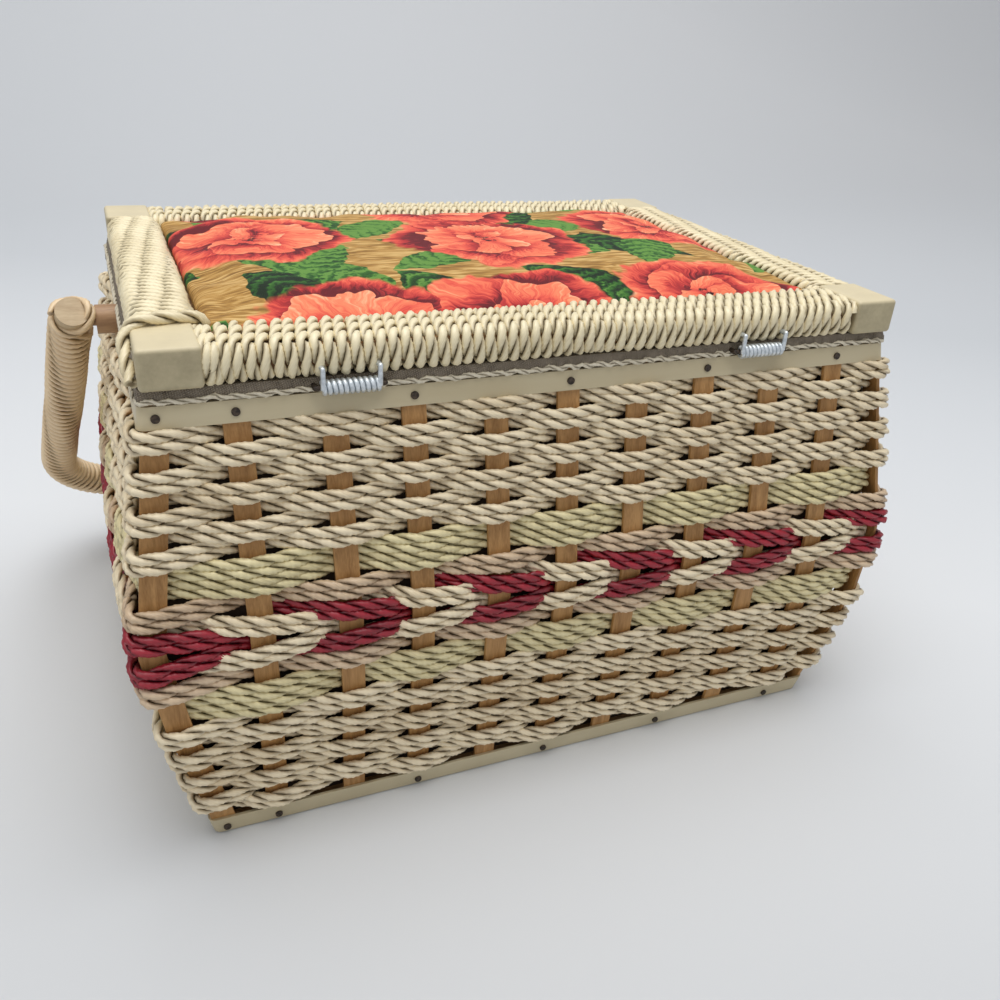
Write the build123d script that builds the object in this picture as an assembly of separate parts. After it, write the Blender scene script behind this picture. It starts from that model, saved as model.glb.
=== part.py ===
from build123d import *
from math import asin, atan2, cos, degrees
import os

# Woven sewing carrier: a two-tier basket with one padded lid on coil hinges,
# a swinging carrying handle, a wire latch loop and a sliding inner tray.
# Frame: millimetres, +Z up, long side along X, hinges at +Y, latch and resting
# handle at -Y. The origin is the middle of the base's underside.

os.makedirs("parts", exist_ok=True)

# ---------------------------------------------------------------- driving sizes
# Basket body, measured on the outer faces of the stakes. Below the shoulder each
# wall swells past a straight line by its own amount.
base_length, base_depth = 283.0, 231.0
belly_swell_end, belly_swell_long = 0.9, 4.8
shoulder_length, shoulder_depth = 322.0, 245.0
rim_length, rim_depth = 299.0, 211.0

# Weave: every plain course is two cords high
cord_width = 3.3
weave_thickness = 3.2
weave_gap = 0.06
weave_bottom = 11.0
course_count_below, course_count_above = 8, 7
cord_count_plain, cord_count_thick = 2, 4
arrow_row_height = 11.2
course_gap = 0.12

# Stakes
stake_width, stake_thickness = 9.0, 1.6
stake_pitch = 30.6
stake_shift = 1.2
stake_count_long, stake_count_end = 9, 6
stake_foot = 0.6
foot_crowding = 0.033
long_wall_offsets = (-0.2, 1.7, -0.5, 0.4, -0.8, -1.3, -1.4, 0.4, 2.2)
end_wall_bow, long_wall_draw = 3.0, 3.5

# Bands, rails and nails
band_height_top, band_height_base, band_thickness = 7.5, 8.5, 1.2
band_corner_radius = 3.0
rim_rail_thickness = 6.0
rim_height_above_band = 4.0
lining_fold = 1.1
nail_head_radius, nail_head_thickness = 1.45, 0.7
nail_shank_radius, nail_length = 0.7, 7.0

# Base board and liner
base_board_thickness = 5.0
liner_thickness = 1.6
lining_thickness = 0.6
liner_gap = 0.3

# Lid
lid_length, lid_depth, lid_thickness = 300.0, 220.0, 14.0
lid_clearance = 0.4
block_length = 20.0
long_rail_width, end_rail_width = 27.0, 23.0
wrap_thickness = 3.1
rail_gap = 0.1
long_tenon, end_tenon = 6.0, 3.0
block_edge_radius = 1.6
panel_thickness, panel_drop = 3.0, 2.0
pad_edge_height, pad_crown = 3.5, 5.0
cover_thickness = 0.8
lid_lining_thickness = 1.2
lid_lining_margin = 1.0

# Hinges
hinge_spacing = 167.0
coil_length, coil_radius, coil_wire_radius = 19.5, 2.8, 0.88
coil_turns = 10.5
hinge_fit = 0.06
hinge_leg_height = 7.0
hinge_pin_reach = 9.0

# Handle
handle_length = 194.2
handle_top_standoff, handle_foot_standoff = 18.6, 34.5
handle_core_radius, handle_wrap_radius = 6.25, 8.0
handle_corner_radius = 47.0
handle_stub = 7.0
handle_rest_gap = 2.3
peg_radius, peg_tenon_radius, peg_fit = 5.8, 2.5, 0.06
peg_gap = 1.2
peg_tenon_depth = 4.0

# Latch
knob_radius, knob_neck_radius, knob_height, knob_neck_height = 5.0, 3.0, 9.0, 4.0
loop_width, loop_drop, loop_wire_radius = 17.0, 23.0, 0.85
hanger_length, hanger_radius, hanger_plate = 9.0, 2.0, 1.0
loop_height_on_lid = 5.0
loop_gap = 0.6

# Sliding tray
tray_depth, tray_height, tray_wall = 92.0, 30.0, 2.4
tray_cells = 4
ledge_grip, ledge_thickness = 6.0, 5.0
tray_below_rail = 6.0
tray_gap, tray_end_gap = 2.0, 9.8

# ------------------------------------------------------------- derived heights
plain_height = cord_count_plain * cord_width
thick_height = cord_count_thick * cord_width
lower_plain_top = weave_bottom + course_count_below * plain_height
belly_height = lower_plain_top
lower_thick_top = lower_plain_top + thick_height
arrow_bottom = lower_thick_top + plain_height
shoulder_height = arrow_bottom + arrow_row_height
arrow_top = shoulder_height + arrow_row_height
upper_tan_top = arrow_top + plain_height
upper_thick_top = upper_tan_top + thick_height
band_bottom = upper_thick_top + course_count_above * plain_height
band_top = band_bottom + band_height_top
rim_height = band_top + rim_height_above_band
lining_top = rim_height + lining_fold
lid_bottom = lining_top + lid_clearance
lid_top = lid_bottom + lid_thickness
rail_bottom = band_bottom + rail_gap
bow_low, bow_high = band_height_base + rail_gap, rail_bottom - rail_gap

LONG, END = 0, 1
MIDDLE, FIRST_CORNER, LAST_CORNER = 0, -1, 1
WALLS = {"back": 0, "right": 1, "front": 2, "left": 3}
STAKE_COUNTS = {LONG: stake_count_long, END: stake_count_end}
SEAM_STAKE = 6


# ------------------------------------------------------------ wall coordinates
belly_share = belly_height / shoulder_height
belly_length = base_length + (shoulder_length - base_length) * belly_share + 2 * belly_swell_end
belly_depth = base_depth + (shoulder_depth - base_depth) * belly_share + 2 * belly_swell_long
LEVELS = ((0.0, base_length, base_depth), (belly_height, belly_length, belly_depth),
          (shoulder_height, shoulder_length, shoulder_depth), (rim_height, rim_length, rim_depth))
BOWS = {LONG: (-long_wall_draw, belly_height, shoulder_height),
        END: (end_wall_bow, shoulder_height, bow_high)}


def half_sizes(z):
    """Half length and half depth over the stakes' outer faces at height z."""
    for low, high in zip(LEVELS, LEVELS[1:]):
        if z <= high[0]:
            break
    t = (z - low[0]) / (high[0] - low[0])
    return [(a + (b - a) * t) / 2 for a, b in zip(low[1:], high[1:])]


def bow(wall, share, z):
    """How far a wall swells out, or is drawn in, at a share of its half width."""
    swell, peak, top = BOWS[wall % 2]
    rise, fall = (z - bow_low) / (peak - bow_low), (top - z) / (top - peak)
    return swell * max(0.0, 1 - share ** 2) * max(0.0, min(rise, fall))


def wall_point(wall, u, n, z, anchor=MIDDLE):
    """Point at u along a wall and n outside its stake face, at height z.

    u is measured from the wall's middle, or from the corner that anchor names.
    """
    half_length, half_depth = half_sizes(z)
    run, reach = (half_length, half_depth) if wall % 2 == 0 else (half_depth, half_length)
    x, y = -(u + anchor * run), reach + n
    for _ in range(wall):
        x, y = -y, x
    return Vector(x, y, z)


def woven_point(wall, u, n, z, anchor=MIDDLE):
    """The same on the woven wall, which is bowed and whose stakes crowd to the foot."""
    run = half_sizes(z)[wall % 2]
    if anchor == MIDDLE:
        u *= 1 - foot_crowding * (1 - z / rim_height)
    return wall_point(wall, u, n + bow(wall, u / run + anchor, z), z, anchor)


def closed_wire(points):
    return Wire.make_polygon(points, close=True)


def ruled(sections):
    """One solid through matching sections, with straight sides."""
    return Solid.make_loft([closed_wire(points) for points in sections], ruled=True)


def wall_slab(wall, z_low, z_high, n_in, n_out, corner_in):
    """A flat board that follows one wall between two heights."""
    sections = []
    for z in (z_low, z_high):
        half_length, half_depth = half_sizes(z)
        run = half_length if wall % 2 == 0 else half_depth
        end = run - corner_in
        sections.append([wall_point(wall, u, n, z) for u, n in
                         ((-end, n_in), (end, n_in), (end, n_out), (-end, n_out))])
    return ruled(sections)


def rounded_ring(z_low, z_high, n_in, n_out):
    """A band that goes round the basket and follows its slope."""
    inner, outer = [], []
    for z in (z_low, z_high):
        half_length, half_depth = half_sizes(z)
        level = Location((0, 0, z))
        around = RectangleRounded(2 * (half_length + n_out), 2 * (half_depth + n_out),
                                  band_corner_radius)
        within = Rectangle(2 * (half_length + n_in), 2 * (half_depth + n_in))
        outer.append(around.face().outer_wire().moved(level))
        inner.append(within.face().outer_wire().moved(level))
    return Solid.make_loft(outer, ruled=True) - Solid.make_loft(inner, ruled=True)


def put(name, shape):
    """Write one named piece, or a group of like pieces, to its own file."""
    solids = []
    for item in shape if isinstance(shape, (list, tuple)) else [shape]:
        solids += item.solids()
    piece = solids[0] if len(solids) == 1 else Compound(children=solids)
    piece.label = name
    export_step(piece, f"parts/{name}.step")
    return piece


def box_between(x0, x1, y0, y1, z0, z1):
    size = Box(x1 - x0, y1 - y0, z1 - z0)
    return size.moved(Location(((x0 + x1) / 2, (y0 + y1) / 2, (z0 + z1) / 2)))


def rod(start, end, radius):
    """A straight round bar between two points."""
    start, end = Vector(*start), Vector(*end)
    return Solid.make_cylinder(radius, (end - start).length, Plane(start, z_dir=end - start))


# ---------------------------------------------------------------------- stakes
def stake_places(wall):
    """(anchor, u) for the middle of each stake of a wall, in order."""
    count = STAKE_COUNTS[wall % 2]
    first = -(count - 1) / 2 * stake_pitch + stake_shift
    offsets = long_wall_offsets if wall % 2 == LONG else count * (0.0,)
    middles = [(MIDDLE, first + i * stake_pitch + offset) for i, offset in enumerate(offsets)]
    return [(FIRST_CORNER, stake_width / 2)] + middles


def stake(wall, anchor, u):
    sections, heights = [], [stake_foot]
    for low, high in ((bow_low, belly_height), (belly_height, shoulder_height),
                      (shoulder_height, bow_high)):
        heights += [low, low + (high - low) / 3, low + (high - low) * 2 / 3]
    for z in heights + [bow_high, rim_height]:
        corners = ((-1, 0), (1, 0), (1, -1), (-1, -1))
        sections.append([woven_point(wall, u + side * stake_width / 2, inner * stake_thickness,
                                    z, anchor) for side, inner in corners])
    return ruled(sections)


for name, wall in WALLS.items():
    put(f"stakes_{name}", [stake(wall, *place) for place in stake_places(wall)])


# ------------------------------------------------------------------ handle pegs
peg_z = (band_bottom + band_top) / 2
rail_in = -stake_thickness - rim_rail_thickness
liner_out = -(2 * weave_gap + stake_thickness + weave_thickness + liner_gap)
arm_top_x = half_sizes(peg_z)[0] + handle_top_standoff
arm_foot_x = shoulder_length / 2 + handle_foot_standoff
peg_shoulder = arm_top_x - handle_wrap_radius - peg_gap


def peg_rods(radius):
    """The two thick bars that run from the end rails out to the handle's arms."""
    inner = half_sizes(peg_z - peg_radius)[0] + liner_out + 0.2
    return [rod((side * inner, 0, peg_z), (side * peg_shoulder, 0, peg_z), radius)
            for side in (-1, 1)]


# ----------------------------------------------------------------------- weave
def ring_of_stakes():
    """Every stake in order round the basket: (wall, anchor, u)."""
    return [(wall, *place) for wall in range(4) for place in stake_places(wall)]


def weaver_path(parity):
    """Turning points of one weaver, over every second stake and under the rest.

    Each point is (wall, anchor, u, side, mitre, step): side is +1 outside the
    stakes and -1 inside, and step counts from -1 to +1 across a stake.
    """
    ring = ring_of_stakes()
    count = len(ring)
    seam = count // 2 + SEAM_STAKE + parity
    edge = stake_width / 2 + weave_gap
    path = []
    for k in range(count + 1):
        index = (seam + k) % count
        wall, anchor, u = ring[index]
        side = 1 if (index + parity) % 2 == 0 else -1
        steps = {0: (0.1, 1), count: (-1, -0.1)}.get(k, (-1, 1))
        for step in steps:
            if anchor == FIRST_CORNER and step == -1:
                if side > 0:
                    before = -stake_thickness - weave_gap
                    path.append(((wall - 1) % 4, LAST_CORNER, before, side, False, step))
                path.append((wall, anchor, 0.0, side, True, step))
            else:
                path.append((wall, anchor, u + step * edge, side, False, step))
    return path


def weaver_section(point, z_low, z_high):
    """The four corners of the weaver's section at one turning point."""
    wall, anchor, u, side, mitre, _ = point
    near = weave_gap if side > 0 else -stake_thickness - weave_gap
    faces = sorted((near, near + side * weave_thickness))
    corners = []
    for n, z in ((faces[0], z_low), (faces[0], z_high), (faces[1], z_high), (faces[1], z_low)):
        corners.append(woven_point(wall, -n if mitre else u, n, z, anchor))
    return corners


def course(z_low, z_high, parity):
    """One plain course: a flat ribbon that goes over one stake and under the next."""
    low, high = z_low + course_gap / 2, z_high - course_gap / 2
    return ruled([weaver_section(point, low, high) for point in weaver_path(parity)])


def arrow_weaver(z_low, parity, rises):
    """One weaver of a twined row: it slants over a stake and back behind the next."""
    half = arrow_row_height / 2
    path = weaver_path(parity)
    sections = []
    for point in path:
        side, step = point[3], point[5]
        above = (side * step > 0) == rises
        low = z_low + (half if above else 0) + course_gap
        if abs(step) < 1:
            low = z_low + half / 2
        sections.append(weaver_section(point, low, low + half - 2 * course_gap))
    return ruled(sections)


def stack(z, height, count, parity):
    """Plain courses on top of each other, each one over what the last was under."""
    return [course(z + i * height, z + (i + 1) * height, parity + i) for i in range(count)]


put("weave_lower", stack(weave_bottom, plain_height, course_count_below, 1))
put("weave_green_lower", course(lower_plain_top, lower_thick_top, 1))
put("weave_tan_lower", course(lower_thick_top, arrow_bottom, 0))
for row, z, rises in (("lower", arrow_bottom, True), ("upper", shoulder_height, False)):
    put(f"arrow_red_{row}", arrow_weaver(z, 0, rises))
    put(f"arrow_cream_{row}", arrow_weaver(z, 1, rises))
put("weave_tan_upper", course(arrow_top, upper_tan_top, 0))
put("weave_green_upper", course(upper_tan_top, upper_thick_top, 1))
upper_courses = stack(upper_thick_top, plain_height, course_count_above, 0)
for hole in peg_rods(peg_radius + 0.1):
    upper_courses[-1] = upper_courses[-1] - hole
put("weave_upper", upper_courses)

# --------------------------------------------------------------- base and liner
board_in = stake_thickness + 0.1
half_length, half_depth = half_sizes(0)
base_board = RectangleRounded(2 * (half_length - board_in), 2 * (half_depth - board_in), 3.0)
put("base_board", extrude(base_board, base_board_thickness))
put("base_band", rounded_ring(stake_foot, band_height_base, 0, band_thickness))

liner_in = liner_out - liner_thickness
liner_levels = {"lower": (base_board_thickness, shoulder_height),
                "upper": (shoulder_height, rail_bottom - 0.3)}
for level, (z_low, z_high) in liner_levels.items():
    boards = [wall_slab(wall, z_low, z_high, liner_in, liner_out,
                        -liner_out if wall % 2 == 0 else -liner_in + 0.05)
              for wall in range(4)]
    put(f"liner_{level}", boards)
    cloth_out, cloth_in = liner_in - 0.05, liner_in - 0.05 - lining_thickness
    cloths = [wall_slab(wall, z_low, z_high, cloth_in, cloth_out,
                        -cloth_out if wall % 2 == 0 else -cloth_in + 0.05)
              for wall in range(4)]
    put(f"lining_{level}", cloths)

# ------------------------------------------------------------------ rim and bands
for name, wall in WALLS.items():
    corner_in = stake_thickness if wall % 2 == 0 else -rail_in + 0.05
    rail = wall_slab(wall, rail_bottom, rim_height, rail_in, -stake_thickness, corner_in)
    if wall % 2 == END:
        for hole in peg_rods(peg_radius + 0.02):
            rail -= hole
    put(f"rim_rail_{name}", rail)

rim_band = rounded_ring(rail_bottom, band_top, 0.0, band_thickness)
fold_out = band_thickness - 0.1
rim_lining = rounded_ring(rim_height, lining_top, rail_in - lining_fold, fold_out)
rim_lining += rounded_ring(band_top + 0.1, rim_height, 0.05, fold_out)
rim_lining += rounded_ring(rail_bottom, rim_height, rail_in - lining_fold, rail_in - 0.05)
for hole in peg_rods(peg_radius + 0.02):
    rim_band -= hole
    rim_lining -= hole
put("rim_band", rim_band)
put("rim_lining", rim_lining)


def nail(wall, anchor, u, z):
    """A round-headed nail driven square through the band."""
    foot = woven_point(wall, u, band_thickness + 0.02, z, anchor)
    inward = woven_point(wall, u, band_thickness - 1, z, anchor) - foot
    head = Solid.make_cylinder(nail_head_radius, nail_head_thickness, Plane(foot, z_dir=-inward))
    shank = Solid.make_cylinder(nail_shank_radius, nail_length, Plane(foot, z_dir=inward))
    return head + shank


def nails(z, left_out=()):
    """A nail in each corner stake and in every second stake after it."""
    places = []
    for wall in range(4):
        corner, *middle = stake_places(wall)
        places += [(wall, *corner)] + [(wall, *place) for place in middle[::2]]
    return [nail(wall, anchor, u, z) for wall, anchor, u in places
            if (wall, anchor, u) not in left_out]


latch_place = (WALLS["front"], *stake_places(WALLS["front"])[1 + stake_count_long // 2])
put("rim_nails", nails(peg_z, left_out=[latch_place]))
put("base_nails", nails(base_board_thickness / 2 + 1))

# ------------------------------------------------------------------------- lid
lid_x, lid_y = lid_length / 2, lid_depth / 2
block_y = lid_y - long_rail_width
block_x = lid_x - block_length
core_low, core_high = lid_bottom + wrap_thickness, lid_top - wrap_thickness


def mirrored(shape):
    """The shape and its three mirror images about the lid's two middle planes."""
    across = shape.mirror(Plane.YZ)
    return [shape, across, shape.mirror(Plane.XZ), across.mirror(Plane.XZ)]


def lid_block():
    """A bare painted corner block, with sockets for the two rails' ends."""
    block = box_between(block_x, lid_x, block_y, lid_y, lid_bottom, lid_top)
    block = fillet(block.edges(), block_edge_radius)
    long_socket = box_between(block_x - 1, block_x + long_tenon, block_y + wrap_thickness,
                              lid_y - wrap_thickness, core_low, core_high)
    end_socket = box_between(lid_x - end_rail_width + wrap_thickness, lid_x - wrap_thickness,
                             block_y - 1, block_y + end_tenon, core_low, core_high)
    return block - long_socket - end_socket


put("lid_corner_blocks", mirrored(lid_block()))


def wrapped_rail(length, width, tenon):
    """A flat wooden rail along X and the cord tube wound round it."""
    core = Box(2 * (length + tenon - rail_gap), width - 2 * wrap_thickness - 2 * rail_gap,
               core_high - core_low - 2 * rail_gap)
    hole = Box(3 * length, width - 2 * wrap_thickness, core_high - core_low)
    tube = Box(2 * (length - rail_gap), width, lid_thickness)
    tube = fillet(tube.edges().filter_by(Axis.X), wrap_thickness * 0.8)
    return core, tube - hole


lid_middle = (lid_bottom + lid_top) / 2
long_core, long_wrap = wrapped_rail(block_x, long_rail_width, long_tenon)
end_core, end_wrap = wrapped_rail(block_y, end_rail_width, end_tenon)
for name, side in (("back", 1), ("front", -1)):
    place = Location((0, side * (lid_y - long_rail_width / 2), lid_middle))
    put(f"lid_rail_{name}", long_core.moved(place))
    put(f"lid_wrap_{name}", long_wrap.moved(place))
for name, side in (("left", 1), ("right", -1)):
    place = Location((side * (lid_x - end_rail_width / 2), 0, lid_middle), (0, 0, 90))
    put(f"lid_rail_{name}", end_core.moved(place))
    put(f"lid_wrap_{name}", end_wrap.moved(place))

opening_x = lid_x - end_rail_width - rail_gap
opening_y = lid_y - long_rail_width - rail_gap
panel_low = lid_bottom + panel_drop + lid_lining_thickness
panel_high = panel_low + panel_thickness


def crowned(x, y, z_low, z_edge, z_crown):
    """A cushion shape: upright sides and a top that swells both ways."""
    swell = box_between(-x, x, -y, y, z_low, z_crown)
    for reach, turn in ((y, (0, 90, 0)), (x, (90, 0, 0))):
        rise = z_crown - z_edge
        radius = (reach ** 2 + rise ** 2) / (2 * rise)
        drum = Cylinder(radius, 4 * lid_length).moved(Location((0, 0, z_crown - radius), turn))
        swell = swell & drum
    return swell


pad_edge = lid_top - pad_edge_height - cover_thickness
pad = crowned(opening_x - cover_thickness - 0.1, opening_y - cover_thickness - 0.1,
              panel_high, pad_edge, pad_edge + pad_crown)
cover = crowned(opening_x, opening_y, panel_high, pad_edge + cover_thickness,
                pad_edge + pad_crown + cover_thickness)
cover_room = crowned(opening_x - cover_thickness, opening_y - cover_thickness,
                     panel_high - 1, pad_edge + 0.05, pad_edge + pad_crown + 0.05)
put("lid_panel", box_between(-opening_x, opening_x, -opening_y, opening_y,
                             panel_low, panel_high - 0.02))
put("lid_pad", pad)
put("lid_cover", cover - cover_room)
lining_x, lining_y = opening_x - lid_lining_margin, opening_y - lid_lining_margin
put("lid_lining", box_between(-lining_x, lining_x, -lining_y, lining_y,
                              panel_low - lid_lining_thickness, panel_low - 0.05))

# --------------------------------------------------------------------- hinges
hinge_y = lid_y
hinge_z = lid_bottom - coil_radius - 0.2
coil_pitch = coil_length / coil_turns
coil_mean = coil_radius - coil_wire_radius
hinge_pin_radius = coil_mean - coil_wire_radius - hinge_fit


def hinge_coil(middle):
    """A close coil of wire with a leg at each end that goes up into the lid."""
    start = middle - coil_length / 2
    turns = Helix(pitch=coil_pitch, height=coil_length, radius=coil_mean)
    section = Plane(turns @ 0, z_dir=turns % 0) * Circle(coil_wire_radius)
    coil = sweep(section, path=turns, is_frenet=True)
    coil = coil.moved(Location((start, hinge_y, hinge_z), (0, 90, 0)))
    legs = []
    for end in (start, start + coil_length):
        foot = (end, hinge_y + coil_mean, hinge_z)
        knee = (end, hinge_y + coil_mean, hinge_z + hinge_leg_height)
        tip = (end, hinge_y - hinge_pin_reach, hinge_z + hinge_leg_height)
        legs.append(rod(foot, knee, coil_wire_radius) + rod(knee, tip, coil_wire_radius)
                    + Sphere(coil_wire_radius).moved(Location(knee)))
    return coil, legs


def hinge_pin(middle):
    """A wire staple through the coil, its two ends driven into the rim."""
    reach = coil_length / 2 + coil_wire_radius + hinge_pin_radius + 0.3
    ends = [(middle + side * reach, hinge_y, hinge_z) for side in (-1, 1)]
    staple = rod(ends[0], ends[1], hinge_pin_radius)
    for x, y, z in ends:
        staple += Sphere(hinge_pin_radius).moved(Location((x, y, z)))
        staple += rod((x, y, z), (x, y - hinge_pin_reach, z), hinge_pin_radius)
    return staple


coils, pins = [], []
for side in (-1, 1):
    coil, legs = hinge_coil(side * hinge_spacing / 2)
    coils.append(coil + legs[0] + legs[1])
    pins.append(hinge_pin(side * hinge_spacing / 2))
put("hinge_coils", coils)
put("hinge_pins", pins)

# --------------------------------------------------------------------- handle
def rest_angle():
    """Angle from straight down at which the crossbar meets the front wall."""
    angle = 0.0
    for _ in range(60):
        wall_face = half_sizes(peg_z - handle_length * cos(angle))[1]
        reach = wall_face + weave_thickness + handle_wrap_radius + handle_rest_gap
        angle = asin(reach / handle_length)
    return angle


handle_rest = rest_angle()


def bail(start_shift, radius):
    """A round bar bent to a U: two splayed arms and a crossbar, hanging down."""
    splay = (arm_foot_x - arm_top_x) / handle_length
    top = handle_stub - start_shift
    points = [(arm_top_x - splay * top, 0, top), (arm_foot_x, 0, -handle_length),
              (-arm_foot_x, 0, -handle_length), (-arm_top_x + splay * top, 0, top)]
    line = FilletPolyline(*points, radius=handle_corner_radius)
    section = Plane(line @ 0, z_dir=line % 0) * Circle(radius)
    return sweep(section, path=line)


def at_rest(shape):
    """Swing a hanging bail forward to the front wall and up to its pegs."""
    return shape.moved(Location((0, 0, peg_z), (-degrees(handle_rest), 0, 0)))


core_bar = bail(0, handle_core_radius)
wrap_bar = bail(1.5, handle_wrap_radius) - bail(-1, handle_core_radius + 0.02)
tenon_tip = arm_top_x + peg_tenon_depth
for side in (-1, 1):
    socket = rod((0, 0, 0), (side * (tenon_tip + 0.5), 0, 0), peg_tenon_radius + peg_fit)
    core_bar -= socket
    wrap_bar -= socket
put("handle_core", at_rest(core_bar))
put("handle_wrap", at_rest(wrap_bar))

pegs = []
for side, dowel in zip((-1, 1), peg_rods(peg_radius)):
    tenon = rod((side * (peg_shoulder - 1), 0, peg_z), (side * tenon_tip, 0, peg_z),
                peg_tenon_radius)
    pegs.append(dowel + tenon)
put("handle_pegs", pegs)

# ---------------------------------------------------------------------- latch
band_face = half_sizes(peg_z)[1] + band_thickness
latch_x = woven_point(latch_place[0], latch_place[2], 0, peg_z).X
knob_foot = -band_face - 0.1
knob_tip = knob_foot - knob_height
knob_profile = Polyline((0, knob_foot), (knob_neck_radius, knob_foot),
                        (knob_neck_radius, knob_foot - knob_neck_height),
                        (knob_radius, knob_foot - knob_neck_height - 1.5),
                        (knob_radius, knob_tip + 1.0), (knob_radius - 1.0, knob_tip),
                        (0, knob_tip), close=True)
knob = revolve(make_face(knob_profile), Axis.Y).moved(Location((latch_x, 0, peg_z)))
shank = rod((latch_x, knob_foot - 1, peg_z), (latch_x, knob_foot + nail_length, peg_z), 1.2)
put("latch_knob", knob + shank)

loop_y = -lid_y - hanger_radius - 0.3
loop_z = lid_bottom + loop_height_on_lid
hanger_ends = (latch_x - hanger_length / 2, latch_x + hanger_length / 2)
hanger = rod((hanger_ends[0], loop_y, loop_z), (hanger_ends[1], loop_y, loop_z), hanger_radius)
hanger += box_between(*hanger_ends, -lid_y - 0.05 - hanger_plate, -lid_y - 0.05,
                      loop_z - hanger_radius, loop_z + 3 * hanger_radius)
hanger -= rod((hanger_ends[0] - 1, loop_y, loop_z), (hanger_ends[1] + 1, loop_y, loop_z),
              loop_wire_radius + hinge_fit)
put("latch_hanger", hanger)

loop_lean = atan2(loop_y - (knob_tip - loop_gap - loop_wire_radius), loop_z - peg_z)
corners = [(x, 0, z) for x, z in ((-loop_width / 2, 0), (loop_width / 2, 0),
                                  (loop_width / 2, -loop_drop), (-loop_width / 2, -loop_drop))]
loop = None
for start, end in zip(corners, corners[1:] + corners[:1]):
    bar = rod(start, end, loop_wire_radius) + Sphere(loop_wire_radius).moved(Location(start))
    loop = bar if loop is None else loop + bar
put("latch_loop", loop.moved(Location((latch_x, loop_y, loop_z), (-degrees(loop_lean), 0, 0))))

# ----------------------------------------------------------------------- tray
tray_high = rail_bottom - tray_below_rail
tray_low = tray_high - tray_height
tray_x = half_sizes(rim_height)[0] + rail_in - lining_fold - tray_end_gap
tray_back = half_sizes(tray_high)[1] + liner_in - lining_thickness - tray_gap
tray_front = tray_back - tray_depth
put("tray_floor", box_between(-tray_x + tray_wall, tray_x - tray_wall,
                              tray_front + tray_wall, tray_back - tray_wall,
                              tray_low, tray_low + tray_wall))
sides = [box_between(-tray_x, tray_x, y, y + tray_wall, tray_low, tray_high)
         for y in (tray_front, tray_back - tray_wall)]
sides += [box_between(x, x + tray_wall, tray_front + tray_wall, tray_back - tray_wall,
                      tray_low, tray_high) for x in (-tray_x, tray_x - tray_wall)]
put("tray_sides", sides)
cell = (2 * tray_x - tray_wall) / tray_cells
dividers = [box_between(-tray_x + i * cell, -tray_x + i * cell + tray_wall / 2,
                        tray_front + tray_wall, tray_back - tray_wall,
                        tray_low + tray_wall, tray_high - 4) for i in range(1, tray_cells)]
put("tray_dividers", dividers)

ledge_high = tray_low - 0.2
ledge_low = ledge_high - ledge_thickness
ledge_out = half_sizes(ledge_high)[0] + liner_in - lining_thickness - 0.2
ledge_back = half_sizes(ledge_high)[1] + liner_in - lining_thickness - 0.4
put("tray_ledges", [box_between(*sorted((side * ledge_out, side * (tray_x - ledge_grip))),
                                -ledge_back, ledge_back, ledge_low, ledge_high)
                    for side in (-1, 1)])

print("heights: shoulder", round(shoulder_height, 2), "band", round(band_bottom, 2),
      "rim", round(rim_height, 2), "lid", round(lid_bottom, 2), round(lid_top, 2))
print("hinge axis", round(hinge_y, 2), round(hinge_z, 2), "handle axis", round(peg_z, 2),
      "rest angle", round(degrees(handle_rest), 2), "loop axis", round(loop_y, 2),
      round(loop_z, 2), "lean", round(degrees(loop_lean), 2))
print("tray", round(tray_front, 2), round(tray_back, 2), round(tray_low, 2), round(tray_high, 2))
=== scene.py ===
import bmesh
import bpy
import random
from math import acos, cos, pi, radians, sin, sqrt, tan
from mathutils import Matrix, Vector


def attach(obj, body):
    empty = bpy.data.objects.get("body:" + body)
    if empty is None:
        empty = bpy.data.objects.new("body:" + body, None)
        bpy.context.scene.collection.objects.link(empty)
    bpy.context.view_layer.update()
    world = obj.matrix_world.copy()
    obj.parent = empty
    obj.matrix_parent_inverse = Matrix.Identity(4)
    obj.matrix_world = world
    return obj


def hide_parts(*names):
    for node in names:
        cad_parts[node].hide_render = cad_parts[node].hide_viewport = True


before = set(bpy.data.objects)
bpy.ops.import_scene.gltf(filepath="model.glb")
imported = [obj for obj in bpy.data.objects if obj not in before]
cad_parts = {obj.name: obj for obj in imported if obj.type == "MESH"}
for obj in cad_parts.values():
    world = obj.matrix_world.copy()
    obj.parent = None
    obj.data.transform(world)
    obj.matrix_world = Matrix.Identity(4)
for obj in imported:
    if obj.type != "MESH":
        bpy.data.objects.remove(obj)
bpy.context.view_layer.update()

# ------------------------------------------------------------------ woven walls
# Rows of two-ply twisted paper cord go over one flat cane stake and under the next,
# round all four walls. Plain rows have two cords, thick rows four, and two twined
# rows in red and cream lean opposite ways across the widest line to draw arrows.
# Sizes are in millimetres, and MM turns them to metres.
MM = 0.001
cord_pitch, cord_half, plain_rows_below, plain_rows_above = 3.3, 2.1, 8, 7
weave_foot, arrow_row, band_width, rim_over_band = 11.0, 11.2, 7.5, 4.0
stake_width, stake_thickness, stake_pitch, stake_shift = 9.0, 1.6, 30.6, 1.2
stakes_on_wall, foot_crowding = (9, 6), 0.033
long_wall_offsets = (-0.2, 1.7, -0.5, 0.4, -0.8, -1.3, -1.4, 0.4, 2.2)
plain_row, thick_row = 2 * cord_pitch, 4 * cord_pitch
thick_below = weave_foot + plain_rows_below * plain_row
tan_below = thick_below + thick_row
arrow_foot = tan_below + plain_row
shoulder = arrow_foot + arrow_row
tan_above = shoulder + arrow_row
thick_above = tan_above + plain_row
plain_above = thick_above + thick_row
band_foot = plain_above + plain_rows_above * plain_row
band_head = band_foot + band_width
rim = band_head + rim_over_band
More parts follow.
